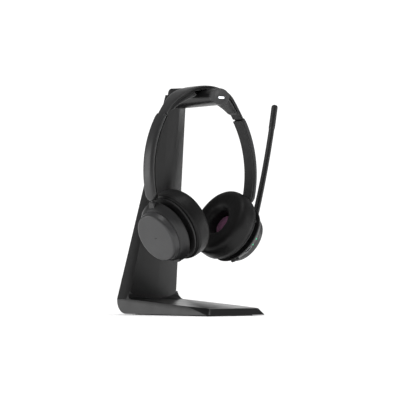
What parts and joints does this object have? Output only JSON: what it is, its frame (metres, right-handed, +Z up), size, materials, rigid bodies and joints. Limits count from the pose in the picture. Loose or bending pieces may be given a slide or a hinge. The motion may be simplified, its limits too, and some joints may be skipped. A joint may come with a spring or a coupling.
{
  "type": "office headset",
  "caption": "Wireless on-ear office headset with a stowed boom microphone, padded headband and folding ear cups, hanging on its C-shaped charging stand.",
  "frame": {"origin": "centre of the stand's footprint, on the floor it stands on", "axes": "+Z up, +X across the head towards the cup with the boom, -Y towards the front of the stand"},
  "size_m": [0.1735, 0.144, 0.228],
  "materials": {
    "stand_finish": "satin",
    "cap_finish": "satin",
    "galvanised_steel": "satin",
    "ballast_iron": "matte",
    "foot_rubber": "matte",
    "screw_steel": "satin",
    "light_lens": "gloss",
    "green_lens": "gloss",
    "coil_copper": "satin",
    "board_green": "satin",
    "ribbon_cable": "matte",
    "band_shell": "satin",
    "band_steel": "satin",
    "inner_plastic": "matte",
    "pad_leatherette": "soft",
    "band_leatherette": "soft",
    "arm_shell": "satin",
    "cup_shell": "satin",
    "dark_chassis": "matte",
    "driver_metal": "satin",
    "speaker_cloth": "matte",
    "battery_foil": "satin",
    "button_plastic": "satin",
    "boom_shell": "satin",
    "capsule_metal": "satin"
  },
  "bodies": {
    "stand": {"stand_base": "stand_finish", "stand_mast": "stand_finish", "base_plate": "galvanised_steel", "ballast_weight": "ballast_iron", "foot_pad": "foot_rubber", "base_screws": "screw_steel", "perch_end_cap": "cap_finish", "status_light": "light_lens", "charge_saddle": "foot_rubber", "charge_coil": "coil_copper", "stand_board": "board_green", "stand_usb_inlet": "screw_steel", "stand_ribbon": "ribbon_cable"},
    "headband": {"band_outer": "band_shell", "band_spring": "band_steel", "band_lower": "inner_plastic", "charge_receiver": "coil_copper", "left_band_cushion": "band_leatherette", "right_band_cushion": "band_leatherette"},
    "left_arm": {"left_arm_shell": "arm_shell", "left_arm_liner": "inner_plastic"},
    "left_yoke": {"left_yoke": "arm_shell", "left_swivel_clip": "screw_steel"},
    "left_cup": {"left_tilt_pin": "screw_steel", "left_housing": "cup_shell", "left_chassis": "dark_chassis", "left_baffle": "dark_chassis", "left_driver": "driver_metal", "left_speaker_mesh": "speaker_cloth", "left_cushion_ring": "inner_plastic", "left_ear_cushion": "pad_leatherette", "left_cup_board": "board_green", "left_cup_screws": "screw_steel", "left_cap": "cap_finish", "left_battery": "battery_foil"},
    "right_arm": {"right_arm_shell": "arm_shell", "right_arm_liner": "inner_plastic"},
    "right_yoke": {"right_yoke": "arm_shell", "right_swivel_clip": "screw_steel"},
    "right_cup": {"right_tilt_pin": "screw_steel", "right_housing": "cup_shell", "right_chassis": "dark_chassis", "right_baffle": "dark_chassis", "right_driver": "driver_metal", "right_speaker_mesh": "speaker_cloth", "right_cushion_ring": "inner_plastic", "right_ear_cushion": "pad_leatherette", "right_cup_board": "board_green", "right_cup_screws": "screw_steel", "boom_snap_ring": "screw_steel", "right_usb_socket": "screw_steel", "status_lenses": "green_lens"},
    "boom": {"boom_hub": "cap_finish", "boom_arm": "boom_shell", "mic_head": "boom_shell", "mic_capsule": "capsule_metal"},
    "cap_button": {"right_cap_button": "cap_finish"},
    "noise_button": {"left_noise_button": "button_plastic"},
    "mute_button": {"right_mute_button": "button_plastic"},
    "volume_rocker": {"volume_rocker": "button_plastic"}
  },
  "joints": [
    {"name": "headset_lift", "type": "slide", "parent": "stand", "child": "headband", "axis": [0, 0, 1], "range_m": [0, 0.06]},
    {"name": "left_arm_slide", "type": "slide", "parent": "headband", "child": "left_arm", "axis": [-0.4305, 0, -0.9026], "range_m": [0, 0.02]},
    {"name": "left_swivel", "type": "hinge", "parent": "left_arm", "child": "left_yoke", "pos_m": [-0.06386, -0.018, 0.11586], "axis": [0.2588, 0, -0.9659], "range_deg": [0, 90]},
    {"name": "left_tilt", "type": "hinge", "parent": "left_yoke", "child": "left_cup", "pos_m": [-0.06122, -0.018, 0.10601], "axis": [0, 1, 0], "range_deg": [0, 15]},
    {"name": "right_arm_slide", "type": "slide", "parent": "headband", "child": "right_arm", "axis": [0.4305, 0, -0.9026], "range_m": [0, 0.02]},
    {"name": "right_swivel", "type": "hinge", "parent": "right_arm", "child": "right_yoke", "pos_m": [0.06386, -0.018, 0.11586], "axis": [0.2588, 0, 0.9659], "range_deg": [0, 90]},
    {"name": "right_tilt", "type": "hinge", "parent": "right_yoke", "child": "right_cup", "pos_m": [0.06122, -0.018, 0.10601], "axis": [0, -1, 0], "range_deg": [0, 15]},
    {"name": "boom_turn", "type": "hinge", "parent": "right_cup", "child": "boom", "pos_m": [0.0589, -0.018, 0.0755], "axis": [0.887, 0, -0.4617], "range_deg": [0, 120]},
    {"name": "cap_press", "type": "slide", "parent": "right_cup", "child": "cap_button", "axis": [-0.887, 0, 0.4617], "range_m": [0, 0.0007], "stiffness_N_per_m": 600},
    {"name": "noise_press", "type": "slide", "parent": "left_cup", "child": "noise_button", "axis": [-0.4547, 0.1736, 0.8735], "range_m": [0, 0.0006], "stiffness_N_per_m": 600},
    {"name": "mute_press", "type": "slide", "parent": "right_cup", "child": "mute_button", "axis": [0.4339, 0.342, 0.8335], "range_m": [0, 0.0006], "stiffness_N_per_m": 600},
    {"name": "volume_rock", "type": "hinge", "parent": "right_cup", "child": "volume_rocker", "pos_m": [0.0427, 0.00616, 0.06821], "axis": [-0.887, 0, 0.4617], "range_deg": [-3, 3], "stiffness_Nm_per_rad": 0.05}
  ]
}
